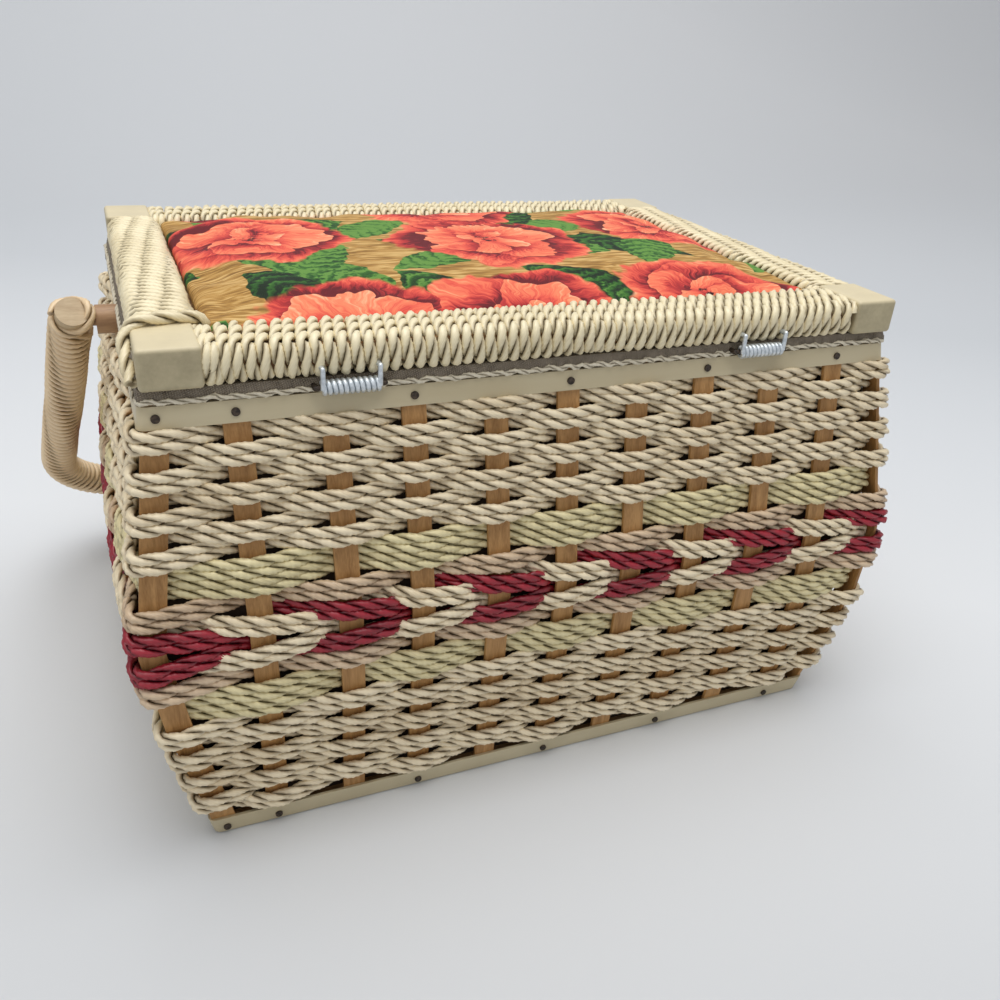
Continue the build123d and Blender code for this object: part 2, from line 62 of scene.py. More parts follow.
# The basket's (height, length, depth) over the stakes, and how far a long and an end
# wall bow out between their corners, with the heights where that is most and ends.
levels = ((0.0, 283.0, 231.0), (thick_below, 311.0, 250.0), (shoulder, 322.0, 245.0),
          (rim, 299.0, 211.0))
bow_foot, bows = 8.6, ((-3.5, thick_below, shoulder), (3.0, shoulder, band_foot))


def half_sizes(z):
    """Half length and half depth over the stakes' outer faces, z mm up."""
    for low, high in zip(levels, levels[1:]):
        if z <= high[0]:
            break
    t = (z - low[0]) / (high[0] - low[0])
    return [(a + (b - a) * t) / 2 for a, b in zip(low[1:], high[1:])]


def wall_point(wall, u, n, z, anchor=0):
    """A point u along a wall and n outside it; anchor -1 or 1 counts u from a corner."""
    half_length, half_depth = half_sizes(z)
    run, reach = (half_length, half_depth) if wall % 2 == 0 else (half_depth, half_length)
    x, y = -(u + anchor * run), reach + n
    for _ in range(wall):
        x, y = -y, x
    return Vector((x, y, z)) * MM


def woven_point(wall, u, n, z, anchor=0):
    """The same with the walls' bow, and with the stakes closer together at the foot."""
    if anchor == 0:
        u *= 1 - foot_crowding * (1 - z / rim)
    share = u / half_sizes(z)[wall % 2] + anchor
    swell, peak, top = bows[wall % 2]
    rise, fall = (z - bow_foot) / (peak - bow_foot), (top - z) / (top - peak)
    n += swell * max(0.0, 1 - share ** 2) * max(0.0, min(rise, fall))
    return wall_point(wall, u, n, z, anchor)


def stake_ring():
    """Every stake round the basket as (wall, anchor, u)."""
    ring = []
    for wall in range(4):
        count = stakes_on_wall[wall % 2]
        offsets = long_wall_offsets if wall % 2 == 0 else count * (0,)
        first = -(count - 1) / 2 * stake_pitch + stake_shift
        ring.append((wall, -1, stake_width / 2))
        ring += [(wall, 0, first + i * stake_pitch + offsets[i]) for i in range(count)]
    return ring


def cord_path(parity, level, twined=False):
    """One cord's turning points. level(side, step) gives its height by where it is, and
    a twined cord stays outside past its stake until the next one takes it in."""
    outside, inside = cord_half - 0.15, -stake_thickness - cord_half - 0.1
    edge, half_gap, over_stake, crossing = stake_width / 2 + 0.3, 9.5, 0.3, {1: 1.3, -1: -2.3}
    # Round a corner, outside its stake and behind it: the wall's end, u, n and step.
    bends = {1: ((1, -8.5, outside + 0.1, -1), (1, -3.2, outside + 0.9, -1),
                 (-1, -0.85 * outside, 0.85 * outside, -0.8), (-1, 3.2, outside + 0.9, -0.4)),
             -1: ((1, -9.5, 0.7 * inside, -1), (1, -4.6, inside - 0.3, -1),
                  (-1, 5.4, inside - 0.1, 0))}
    points = []
    for index, (wall, anchor, u) in enumerate(stake_ring()):
        side = 1 if (index + parity) % 2 == 0 else -1
        if anchor:
            for end, along, out, step in bends[side]:
                points.append(woven_point((wall - 1) % 4 if end > 0 else wall, along, out,
                                          level(side, step), end))
        for step in (1,) if anchor else (-1, 0, 1):
            n = (outside if side > 0 else inside) + (over_stake * side if step == 0 else 0)
            points.append(woven_point(wall, u + step * edge, n, level(side, step), anchor))
        if twined:
            points.append(woven_point(wall, u + edge + half_gap, crossing[side],
                                      level(side, 2), anchor))
    return points


def row_cords(foot, cords, parity):
    """The cords of one plain or thick row, spread where they pass in front of a stake
    and squeezed together behind one."""
    paths, middle = [], foot + cords * cord_pitch / 2
    spread, squeeze = 1.14 if cords == 2 else 1.04, 0.92
    for i in range(cords):
        offset = (i - (cords - 1) / 2) * cord_pitch

        def level(side, step):
            return middle + offset * (spread if side > 0 else squeeze)
        paths.append(cord_path(parity, level))
    return paths


def arrow_cords(foot, parity, rises):
    """Two cords side by side in one long slant over a stake, turned back behind the next."""
    paths, sign = [], 1 if rises else -1
    slant, drop, squeeze, half_apart = 2.9, 0.3, 0.66, 1.75
    for offset in (-half_apart, half_apart):
        def level(side, step):
            along = 0.6 * side if step > 1 else 0.2 * step if side > 0 else -step
            nip = squeeze if side < 0 and step <= 0 else 1.0
            return foot + arrow_row / 2 + sign * along * slant + offset * nip - sign * drop
        paths.append(cord_path(parity, level, twined=True))
    return paths


def rows(foot, count, parity):
    """The cords of plain rows, one above the other and each over the other's gaps."""
    return [path for i in range(count) for path in row_cords(foot + i * plain_row, 2, parity + i)]


def add(tree, kind, inputs=(), stops=(), **settings):
    """Adds one node with its settings, its inputs set or linked, and any ramp colours.
    A node that is already there can be given in place of the kind."""
    node = tree.nodes.new(kind) if isinstance(kind, str) else kind
    for name, value in settings.items():
        setattr(node, name, value)
    for key, value in dict(inputs).items():
        if isinstance(value, bpy.types.NodeSocket):
            tree.links.new(value, node.inputs[key])
        else:
            node.inputs[key].default_value = value
    for i, (place, code) in enumerate(stops):
        ramp = node.color_ramp.elements
        stop = ramp[i] if i < 2 else ramp.new(place)
        stop.position, stop.color = place, linear(code)
    return node


def linear(code):
    """A linear colour from its sRGB hex code."""
    parts = [int(code[i:i + 2], 16) / 255 for i in (1, 3, 5)]
    return [c / 12.92 if c <= 0.04045 else ((c + 0.055) / 1.055) ** 2.4 for c in parts] + [1.0]


def lay_cord_tree():
    """Geometry Nodes: every chain of edges becomes a smooth two-ply twisted cord. Turn is
    one full twist's length and Step the spacing of its points, in metres. Each cord
    starts its twist at its own angle."""
    tree = bpy.data.node_groups.new("lay_two_ply_cord", "GeometryNodeTree")
    sockets = tree.interface
    sockets.new_socket("Geometry", in_out="INPUT", socket_type="NodeSocketGeometry")
    for name, kind, value in (("Size", "Float", 1.08), ("Turn", "Float", 0.0175),
                              ("Step", "Float", 0.0022), ("Seed", "Int", 3)):
        socket = sockets.new_socket(name, in_out="INPUT", socket_type="NodeSocket" + kind)
        socket.default_value = value
    sockets.new_socket("Cord", in_out="INPUT", socket_type="NodeSocketMaterial")
    sockets.new_socket("Geometry", in_out="OUTPUT", socket_type="NodeSocketGeometry")
    given = add(tree, "NodeGroupInput").outputs
    line = add(tree, "GeometryNodeMeshToCurve", {"Mesh": given["Geometry"]})
    line = add(tree, "GeometryNodeCurveSplineType", {"Curve": line.outputs["Curve"]},
               spline_type="CATMULL_ROM")
    line = add(tree, "GeometryNodeSetSplineResolution",
               {"Geometry": line.outputs["Curve"], "Resolution": 8})
    line = add(tree, "GeometryNodeResampleCurve",
               {"Curve": line.outputs["Geometry"], "Length": given["Step"]}, mode="LENGTH")
    along = add(tree, "GeometryNodeSplineParameter").outputs["Length"]
    each = add(tree, "GeometryNodeCurveOfPoint").outputs["Curve Index"]
    chance = add(tree, "FunctionNodeRandomValue", {"ID": each, "Seed": given["Seed"]},
                 data_type="FLOAT").outputs[1]
    turns = add(tree, "ShaderNodeMath", {0: along, 1: given["Turn"]}, operation="DIVIDE")
    turns = add(tree, "ShaderNodeMath", {0: turns.outputs[0], 1: chance}, operation="ADD")
    angle = add(tree, "ShaderNodeMath", {0: turns.outputs[0], 1: 2 * pi}, operation="MULTIPLY")
    line = add(tree, "GeometryNodeSetCurveTilt",
               {"Curve": line.outputs["Curve"], "Tilt": angle.outputs[0]})
    line = line.outputs["Curve"]
    for name, value in (("along", along), ("shade", chance)):
        line = add(tree, "GeometryNodeStoreNamedAttribute",
                   {"Geometry": line, "Name": name, "Value": value},
                   data_type="FLOAT", domain="POINT").outputs["Geometry"]
    # The two plies are ovals, pressed flat against each other where they touch.
    ring = add(tree, "GeometryNodeCurvePrimitiveCircle",
               {"Resolution": 8, "Radius": MM}).outputs["Curve"]
    plies = add(tree, "GeometryNodeJoinGeometry")
    for sign in (-1, 1):
        ply = add(tree, "GeometryNodeTransform",
                  {"Geometry": ring, "Translation": (sign * 0.98 * MM, 0, 0),
                   "Scale": (1.1, 1.5, 1)})
        add(tree, plies, {0: ply.outputs[0]})
    across = add(tree, "GeometryNodeInputPosition").outputs[0]
    section = add(tree, "GeometryNodeStoreNamedAttribute",
                  {"Geometry": plies.outputs[0], "Name": "across", "Value": across},
                  data_type="FLOAT_VECTOR", domain="POINT")
    section = add(tree, "GeometryNodeTransform",
                  {"Geometry": section.outputs["Geometry"], "Scale": given["Size"]})
    mesh = add(tree, "GeometryNodeCurveToMesh",
               {"Curve": line, "Profile Curve": section.outputs[0],
                "Fill Caps": True})
    mesh = add(tree, "GeometryNodeSetShadeSmooth", {"Geometry": mesh.outputs[0]})
    mesh = add(tree, "GeometryNodeRealizeInstances", {"Geometry": mesh.outputs[0]})
    mesh = add(tree, "GeometryNodeSetMaterial",
               {"Geometry": mesh.outputs[0], "Material": given["Cord"]})
    add(tree, "NodeGroupOutput", {"Geometry": mesh.outputs[0]})
    return tree


cord_tree = lay_cord_tree()


def plain_object(name, mesh):
    """Puts a mesh in the scene as a piece of its own."""
    thing = bpy.data.objects.new(name, mesh)
    bpy.context.scene.collection.objects.link(thing)
    return thing


def through_tree(start, tree, **values):
    """Runs a node tree on an object and returns the result as a plain mesh object."""
    modifier = start.modifiers.new("build", "NODES")
    modifier.node_group = tree
    names = {item.name: item.identifier for item in tree.interface.items_tree
             if item.in_out == "INPUT"}
    for name, value in values.items():
        modifier[names[name.replace("_", " ")]] = value
    graph = bpy.context.evaluated_depsgraph_get()
    graph.update()
    mesh = bpy.data.meshes.new_from_object(start.evaluated_get(graph))
    start.modifiers.remove(modifier)
    name, old = start.name, start.data
    bpy.data.objects.remove(start)
    bpy.data.meshes.remove(old)
    mesh.name = name
    return plain_object(name, mesh)


def laid_cord(name, paths, closed, material, seed, **sizes):
    """Cords along the given paths, as one plain mesh."""
    points, edges = [], []
    for path in paths:
        first = len(points)
        points += path
        edges += [(first + i, first + i + 1) for i in range(len(path) - 1)]
        if closed:
            edges.append((len(points) - 1, first))
    mesh = bpy.data.meshes.new(name)
    mesh.from_pydata(points, edges, [])
    return through_tree(plain_object(name, mesh), cord_tree, Cord=material, Seed=seed, **sizes)


def new_material(name):
    """A new material, its nodes, its shader and the place of each point on the piece."""
    material = bpy.data.materials.new(name)
    material.use_nodes = True
    tree = material.node_tree
    place = add(tree, "ShaderNodeTexCoord").outputs["Object"]
    return material, tree, tree.nodes["Principled BSDF"], place


def paper_cord(name, light, dark, valley_shade):
    """Twisted kraft paper cord with a thin wax coat: matt fibres that run with the ply,
    small soft highlights, painted shade in the valley between the plies that fades out
    towards each ply's crown, and each cord a little darker or lighter than its neighbour.
    Fibres are 0.4 mm wide, blotches 22 mm."""
    material, tree, shader, place = new_material(name)
    across = add(tree, "ShaderNodeAttribute", attribute_name="across").outputs["Vector"]
    along = add(tree, "ShaderNodeAttribute", attribute_name="along").outputs["Fac"]
    shade = add(tree, "ShaderNodeAttribute", attribute_name="shade").outputs["Fac"]
    run = add(tree, "ShaderNodeMath", {0: along, 1: 0.05}, operation="MULTIPLY")
    run = add(tree, "ShaderNodeCombineXYZ", {"Z": run.outputs[0], "X": shade})
    fibre = add(tree, "ShaderNodeVectorMath", {0: across, 1: run.outputs[0]}, operation="ADD")
    fine = add(tree, "ShaderNodeTexNoise",
               {"Vector": fibre.outputs[0], "Scale": 2600.0, "Detail": 3.0}).outputs["Fac"]
    blotch = add(tree, "ShaderNodeTexNoise", {"Vector": place, "Scale": 45.0, "Detail": 2.0})
    tone = -0.04
    for pattern, strength in ((fine, 0.6), (blotch.outputs["Fac"], 0.55), (shade, 0.24)):
        tone = add(tree, "ShaderNodeMath", {0: pattern, 1: strength, 2: tone},
                   operation="MULTIPLY_ADD").outputs[0]
    colour = add(tree, "ShaderNodeValToRGB", {"Fac": tone}, stops=((0.28, dark), (0.72, light)))
    # Painted shade: the colour darkens to the dark valley tone where the two plies meet and is
    # lightest on each ply's outer crown.
    crown = add(tree, "ShaderNodeVectorMath", {0: across}, operation="LENGTH")
    valley = add(tree, "ShaderNodeMapRange",
                 {"Value": crown.outputs["Value"], "From Min": 0.0007, "From Max": 0.002,
                  "To Min": 0.92, "To Max": 0.0})
    colour = add(tree, "ShaderNodeMix", {0: valley.outputs[0], 6: colour.outputs["Color"],
                                         7: linear(valley_shade)}, data_type="RGBA")
    bump = add(tree, "ShaderNodeBump", {"Height": fine, "Strength": 0.35, "Distance": 0.00025})
    add(tree, shader, {"Base Color": colour.outputs[2], "Normal": bump.outputs[0],
                       "Roughness": 0.38, "Specular IOR Level": 0.6})
    return material


cream_cord = paper_cord("waxed_paper_cord_cream", "#ffeecb", "#dcc49b", "#6b5638")
green_cord = paper_cord("waxed_paper_cord_straw", "#f4e6b4", "#cdbd8c", "#665832")
tan_cord = paper_cord("waxed_paper_cord_tan", "#e8cdab", "#b99c7b", "#5f4830")
red_cord = paper_cord("waxed_paper_cord_red", "#a81e30", "#680d1a", "#3a0810")
# The plain rows are in two pieces below and two above, to keep each piece light.
lower_rows = rows(weave_foot, plain_rows_below, 1)
upper_rows = rows(plain_above, plain_rows_above, 0)
weave = (
    ("weave_lower", "foot", lower_rows[:8], cream_cord, "cord_cream"),
    ("weave_lower", "belly", lower_rows[8:], cream_cord, "cord_cream"),
    ("weave_green_lower", "all", row_cords(thick_below, 4, 1), green_cord, "cord_green"),
    ("weave_tan_lower", "all", row_cords(tan_below, 2, 0), tan_cord, "cord_tan"),
    ("arrow_red_lower", "all", arrow_cords(arrow_foot, 0, True), red_cord, "cord_red"),
    ("arrow_cream_lower", "all", arrow_cords(arrow_foot, 1, True), cream_cord, "cord_cream"),
    ("arrow_red_upper", "all", arrow_cords(shoulder, 0, False), red_cord, "cord_red"),
    ("arrow_cream_upper", "all", arrow_cords(shoulder, 1, False), cream_cord, "cord_cream"),
    ("weave_tan_upper", "all", row_cords(tan_above, 2, 0), tan_cord, "cord_tan"),
    ("weave_green_upper", "all", row_cords(thick_above, 4, 1), green_cord, "cord_green"),
    ("weave_upper", "low", upper_rows[:6], cream_cord, "cord_cream"),
    ("weave_upper", "high", upper_rows[6:], cream_cord, "cord_cream"),
)
for seed, (node, part, paths, material, slot) in enumerate(weave):
    cords = laid_cord(f"cords_{node}_{part}", paths, True, material, seed)
    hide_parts(node)
    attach(cords, "basket")

# ----------------------------------------------------------------------- stakes
# Flat split-cane stakes, planed smooth and lightly stained, with the grain running
# up the wall. They go from the base board to the rim and show between the cords.


def wood(name, light, dark, grain, ring=0.35, rough=0.55):
    """Planed wood: fine pores and darker year lines drawn out along the grain, which is
    given as year lines in a metre on X, Y and Z. Pores are a seventh as far apart."""
    material, tree, shader, place = new_material(name)
    place = add(tree, "ShaderNodeMapping", {"Vector": place, "Scale": grain}).outputs[0]
    year = add(tree, "ShaderNodeTexNoise",
               {"Vector": place, "Scale": 1.0, "Detail": 4.0, "Distortion": 0.6}).outputs["Fac"]
    pore = add(tree, "ShaderNodeTexNoise",
               {"Vector": place, "Scale": 7.0, "Detail": 3.0}).outputs["Fac"]
    tone = add(tree, "ShaderNodeMath", {0: pore, 1: ring, 2: -0.5 * ring},
               operation="MULTIPLY_ADD")
    tone = add(tree, "ShaderNodeMath", {0: tone.outputs[0], 1: year}, operation="ADD")
    colour = add(tree, "ShaderNodeValToRGB", {"Fac": tone.outputs[0]},
                 stops=((0.3, dark), (0.7, light)))
    bump = add(tree, "ShaderNodeBump", {"Height": pore, "Strength": 0.3, "Distance": 0.0002})
    add(tree, shader, {"Base Color": colour.outputs["Color"], "Normal": bump.outputs[0],
                       "Roughness": rough})
    return material


def dress(material, *names):
    """Gives CAD pieces that keep their own shape their finish."""
    for name in names:
        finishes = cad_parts[name].data.materials
        finishes.clear()
        finishes.append(material)


stake_cane = wood("split_cane_stained", "#c4955c", "#9b6f3c", (260, 260, 22), 0.5)
dress(stake_cane, "stakes_back", "stakes_right", "stakes_front", "stakes_left")

# ------------------------------------------------------- base board and inner walls
# The floor is a plain softwood board and the stiff liner boards behind the weave are
# brown pulp card, its brown darkened almost to black as painted shade for the gaps
# between the cords. Rails of the same wood stiffen the rim.
board_wood = wood("sawn_poplar_board", "#b08b62", "#85613d", (30, 260, 260))
dress(board_wood, "base_board", "rim_rail_back", "rim_rail_front", "rim_rail_left",
      "rim_rail_right", "tray_ledges")
# Painted shade: the card is coloured near black so that the gaps between the cords look shaded.
liner_card = wood("brown_pulp_card", "#4c3c2c", "#33281d", (90, 90, 90), 0.2, 0.85)
dress(liner_card, "liner_lower", "liner_upper")

# ----------------------------------------------------------------- bands and nails
# Flat strips of beige vinyl-coated card, nailed round the rim and the foot with small
# domed steel nails.
band_strip = wood("coated_card_strip", "#d0c3a2", "#c4b592", (10, 10, 60), 0.15, 0.4)
dress(band_strip, "rim_band", "base_band")


def steel(name, light, dark, dark_at, blotches, metallic, rough):
    """Drawn steel, only half bright, under a skin with so many blotches in a metre: dark
    oxide on the nails and pale zinc bloom on the wire."""
    material, tree, shader, place = new_material(name)
    skin = add(tree, "ShaderNodeTexNoise", {"Vector": place, "Scale": blotches, "Detail": 3.0})
    colour = add(tree, "ShaderNodeValToRGB", {"Fac": skin.outputs["Fac"]},
                 stops=((dark_at, dark), (0.7, light)))
    add(tree, shader, {"Base Color": colour.outputs["Color"], "Metallic": metallic,
                       "Roughness": rough})
    return material


nail_steel = steel("oxidised_steel_nail", "#5a4c40", "#2c2723", 0.35, 900.0, 0.6, 0.5)
dress(nail_steel, "rim_nails", "base_nails")

# -------------------------------------------------------------------- rim lining
# A coarse grey-beige cloth tape is folded over the rim's edge and glued down inside
# and out. Its outer edge is unhemmed, so it waves a little above the top strip.
tape_steps, tape_out, tape_in, tape_turned, tape_over = 740, 1.35, 8.75, 1.0, 1.02
scallop_steps, scallop_depth, mitre_from, mitre_pull = 4, 0.8, 1.2, 0.998
random.seed(11)
tape_edge = [random.uniform(-1, 1) for _ in range(tape_steps)]


def tape_profile(index):
    """(outward, height) of the folded tape's section at one step round the rim."""
    scallop = abs(sin(pi * index / scallop_steps))
    scallop *= 0.75 + 0.25 * tape_edge[index // scallop_steps]
    low = band_head + 1.3 - scallop_depth * scallop + 0.2 * tape_edge[index]
    top = rim + tape_over
    return ((0.12, low), (tape_out, low), (tape_out + 0.2 * tape_edge[index - 1], rim - 0.9),
            (tape_out - 0.35, top), (-3.5, top + 0.05 * tape_edge[index]), (-tape_in + 0.4, top),
            (-tape_in, rim - 0.8), (-tape_in, band_foot + 0.4),
            (-tape_in + tape_turned, band_foot + 0.4), (-tape_in + tape_turned, rim + 0.1),
            (0.12, rim + 0.1))


def rim_place(index, outward, z):
    """A point beside the rim, index steps round it, and its distance from a corner."""
    half_length, half_depth = half_sizes(z)
    sides = (half_length, half_depth, half_length, half_depth)
    walked = index / tape_steps * 2 * sum(sides)
    for wall, run in enumerate(sides):
        if walked <= 2 * run:
            return wall_point(wall, walked - run, outward, z), min(walked, 2 * run - walked)
        walked -= 2 * run


def rim_section(index):
    """The tape's section at one step, drawn out to a mitre at the corners."""
    points = []
    for outward, z in tape_profile(index):
        place, from_corner = rim_place(index, outward, z)
        if from_corner < mitre_from:
            for axis, half in enumerate(half_sizes(z)):
                side = 1 if place[axis] > 0 else -1
                place[axis] = (half + outward) * MM * side * mitre_pull
        points.append(place)
    return points


tape_mesh = bmesh.new()
tape_rings = [[tape_mesh.verts.new(p) for p in rim_section(i)] for i in range(tape_steps)]
for ring, after in zip(tape_rings, tape_rings[1:] + tape_rings[:1]):
    for a, b, c, d in zip(ring, ring[1:] + ring[:1], after[1:] + after[:1], after):
        tape_mesh.faces.new((a, b, c, d))
bmesh.ops.recalc_face_normals(tape_mesh, faces=tape_mesh.faces)
tape_data = bpy.data.meshes.new("rim_tape")
tape_mesh.to_mesh(tape_data)
tape_mesh.free()
rim_tape = plain_object("rim_tape", tape_data)


def woven_cloth(name, light, dark, thread, rough=0.85, depth=0.00035):
    """Coarse cloth: threads cross over and under, so the light breaks up into small
    squares, with slubs 3 mm long where a thread runs thick. thread is their spacing."""
    material, tree, shader, place = new_material(name)
    # At scale 1 a diagonal wave is 0.628 m long.
    wave_length, threads = 0.628, []
    for stretch in ((1, 1, 0.15), (0.5, -0.5, 1.0)):
        lie = add(tree, "ShaderNodeMapping", {"Vector": place, "Scale": stretch})
        wave = add(tree, "ShaderNodeTexWave",
                   {"Vector": lie.outputs[0], "Scale": wave_length / thread, "Distortion": 2.5,
                    "Detail": 2.0, "Detail Scale": 1.5}, bands_direction="DIAGONAL")
        threads.append(wave.outputs["Fac"])
    crossed = add(tree, "ShaderNodeMath", enumerate(threads), operation="MULTIPLY").outputs[0]
    slub = add(tree, "ShaderNodeTexNoise", {"Vector": place, "Scale": 320.0, "Detail": 3.0})
    tone = add(tree, "ShaderNodeMath", {0: slub.outputs["Fac"], 1: 0.9, 2: crossed},
               operation="MULTIPLY_ADD").outputs[0]
    colour = add(tree, "ShaderNodeValToRGB", {"Fac": tone}, stops=((0.3, dark), (0.95, light)))
    bump = add(tree, "ShaderNodeBump", {"Height": tone, "Strength": 0.8, "Distance": depth})
    add(tree, shader, {"Base Color": colour.outputs["Color"], "Normal": bump.outputs[0],
                       "Roughness": rough})
    return material


# The tape's colour is its own grey-beige, darkened in part as painted shade for the shadow under
# the lid.
rim_tape.data.materials.append(woven_cloth("burlap_tape", "#a09483", "#605547", 0.0008))
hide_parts("rim_lining")
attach(rim_tape, "basket")

# A slack cotton cord is sewn along the tape's outer edge, just over the top strip.
edge_cord = paper_cord("slack_cotton_cord", "#ece2cb", "#cabfa4", "#9c8f77")
edge_line = [rim_place(i, tape_out + 0.25,
                       band_head + 1.35 + (0.45 * sin(1.3 * i) + 0.35 * tape_edge[i]))[0]
             for i in range(0, tape_steps, 2)]
tape_cord = laid_cord("rim_tape_cord", [edge_line], True, edge_cord, 9, Size=0.52, Turn=0.011,
                      Step=0.0018)
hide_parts("rim_lining")
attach(tape_cord, "basket")

# The walls inside are covered with a lighter cotton cloth, and so is the lid below.
inner_cloth = woven_cloth("cotton_lining", "#d9cdb2", "#b3a587", 0.0009, 0.9, 0.0002)
dress(inner_cloth, "lining_lower", "lining_upper", "lid_lining")

# ----------------------------------------------------------------------- lid frame
# Four wooden rails meet in solid corner blocks. The blocks are bare, painted with
# beige enamel, and painted light makes their top faces paler than the sides.
lid_half_length, lid_half_depth, lid_foot, lid_thick = 150.0, 110.0, 185.0, 14.0
block_length, long_rail, end_rail = 20.0, 27.0, 23.0
block_paint, paint_tree, paint_shader, paint_place = new_material("beige_enamel_on_wood")
# Brush ripples 11 mm apart, grime in 2 mm specks, and painted light that makes the top face paler.
paint_film = add(paint_tree, "ShaderNodeTexNoise",
                 {"Vector": paint_place, "Scale": 90.0, "Detail": 4.0}).outputs["Fac"]
paint_grime = add(paint_tree, "ShaderNodeTexNoise",
                  {"Vector": paint_place, "Scale": 520.0, "Detail": 5.0, "Roughness": 0.7})
paint_tone = add(paint_tree, "ShaderNodeMath",
                 {0: paint_grime.outputs["Fac"], 1: 0.45, 2: paint_film},
                 operation="MULTIPLY_ADD").outputs[0]
paint_colour = add(paint_tree, "ShaderNodeValToRGB", {"Fac": paint_tone},
                   stops=((0.4, "#a19476"), (0.72, "#b8ab89"), (1.0, "#c9bc99")))
# Painted light: the paint on the top faces is mixed towards a pale cream, as light from above would
# show it.
paint_height = add(paint_tree, "ShaderNodeSeparateXYZ", {"Vector": paint_place})
top_light_mask = add(paint_tree, "ShaderNodeMapRange",
                {"Value": paint_height.outputs["Z"], "From Min": 0.1976, "From Max": 0.1989,
                 "To Max": 0.62})
paint_with_top_light = add(paint_tree, "ShaderNodeMix", {0: top_light_mask.outputs[0], 7: linear("#eedfba"),
                                                6: paint_colour.outputs["Color"]},
                  data_type="RGBA")
paint_bump = add(paint_tree, "ShaderNodeBump",
                 {"Height": paint_film, "Strength": 0.35, "Distance": 0.0006})
add(paint_tree, paint_shader, {"Base Color": paint_with_top_light.outputs[2], "Roughness": 0.5,
                               "Normal": paint_bump.outputs[0]})
dress(block_paint, "lid_corner_blocks")
dress(board_wood, "lid_rail_back", "lid_rail_front", "lid_rail_left", "lid_rail_right",
      "lid_panel")

# ------------------------------------------------------------------ lid rail wraps
# Each rail is wound from block to block with the same two-ply cord, turn by turn.
# The turns lean a little and sit loose enough for dark gaps to show between some.
wrap_pitch, wrap_half, wrap_bend, wrap_proud, block_gap = 4.3, 2.1, 3.2, 0.25, 0.5
wrap_shift, wrap_lean, wrap_slack, straight_run = 0.3, 0.4, 0.02, 12


def wound_rail(half_run, width, turns_seed, slant):
    """Cord path wound round a flat rail that lies along X, centred on the origin. Each
    turn lies slant mm askew over the rail's width, except close to the blocks."""
    random.seed(turns_seed)
    across, up = (size / 2 - wrap_half + wrap_proud for size in (width, lid_thick))
    outline = []
    for corner_x, corner_z, start in ((1, 1, 0), (-1, 1, 1), (-1, -1, 2), (1, -1, 3)):
        for k in range(3):
            angle = (start + k / 2) * pi / 2
            outline.append((corner_x * (across - wrap_bend) + wrap_bend * cos(angle),
                            corner_z * (up - wrap_bend) + wrap_bend * sin(angle)))
    reach = half_run - 0.8 * wrap_half
    path, turns = [], int(2 * reach / wrap_pitch)
    pitch = 2 * reach / turns
    for turn in range(turns + 1):
        shift, lean, slack = (random.uniform(-most, most)
                              for most in (wrap_shift, wrap_lean, wrap_slack))
        for k, (y, z) in enumerate(outline):
            part = k / len(outline)
            along = -reach + (turn + part - 0.5) * pitch
            ease = min(1.0, 3 * part, 3 * (1 - part))
            askew = slant / 2 * y / across * min(1.0, max(0.0, (reach - abs(along)) / straight_run))
            along += (shift + lean * (z / up)) * ease + askew
            path.append(Vector((max(-reach, min(reach, along)), y * (1 + slack), z)) * MM)
    # A last strand over the top fills the gap that the slant leaves at the block.
    return path + [Vector((reach + block_gap, y, z)) * MM for y, z in outline[:5]]


lid_cord = paper_cord("waxed_paper_cord_lid", "#fdefc9", "#dac79c", "#6f5d3c")
lid_middle = lid_foot + lid_thick / 2
rail_turns = {
    "back": ((0, lid_half_depth - long_rail / 2), 0, lid_half_length - block_length, long_rail),
    "front": ((0, long_rail / 2 - lid_half_depth), pi, lid_half_length - block_length, long_rail),
    "left": ((lid_half_length - end_rail / 2, 0), pi / 2, lid_half_depth - long_rail, end_rail),
    "right": ((end_rail / 2 - lid_half_length, 0), -pi / 2, lid_half_depth - long_rail, end_rail),
}
# The left rail's last turn is drawn over the back block's edge and down its end.
last_turn = ((127.4, 81.5, 196.5), (128.6, 83.2, 200.0), (138.5, 84.8, 200.9),
             (147.6, 86.4, 200.5), (151.8, 89.0, 196.8), (152.2, 97.0, 191.6),
             (151.6, 105.5, 186.8))
for seed, (side, (middle, turn, half_run, width)) in enumerate(rail_turns.items()):
    place = Matrix.Translation(Vector((*middle, lid_middle)) * MM) @ Matrix.Rotation(turn, 4, "Z")
    slant = 5.0 if side in ("back", "front") else 1.5
    path = [place @ p for p in wound_rail(half_run, width, seed + 20, slant)]
    if side == "left":
        path += [Vector(p) * MM for p in last_turn]
    wrap = laid_cord("lid_cord_" + side, [path], False, lid_cord, seed + 20,
                     Step=0.0018, Size=1.12)
    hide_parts("lid_wrap_" + side)
    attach(wrap, "lid")

# --------------------------------------------------------------------- lid cushion
# A soft pad under printed cotton fills the frame. The cloth is drawn down between
# the rails all round, so its edge pulls in and its middle swells.
pad_half_length, pad_half_depth = 126.8, 82.8
pad_foot, pad_edge, pad_rise, pad_fall, glued_from = 191.3, 198.4, 2.7, 1.8, 0.975
pull_in_long, pull_in_short = 0.006, 0.008
pad_steps, swell_frames, swell_cap, swell_sideways = (56, 38), 16, 2.6, 0.3


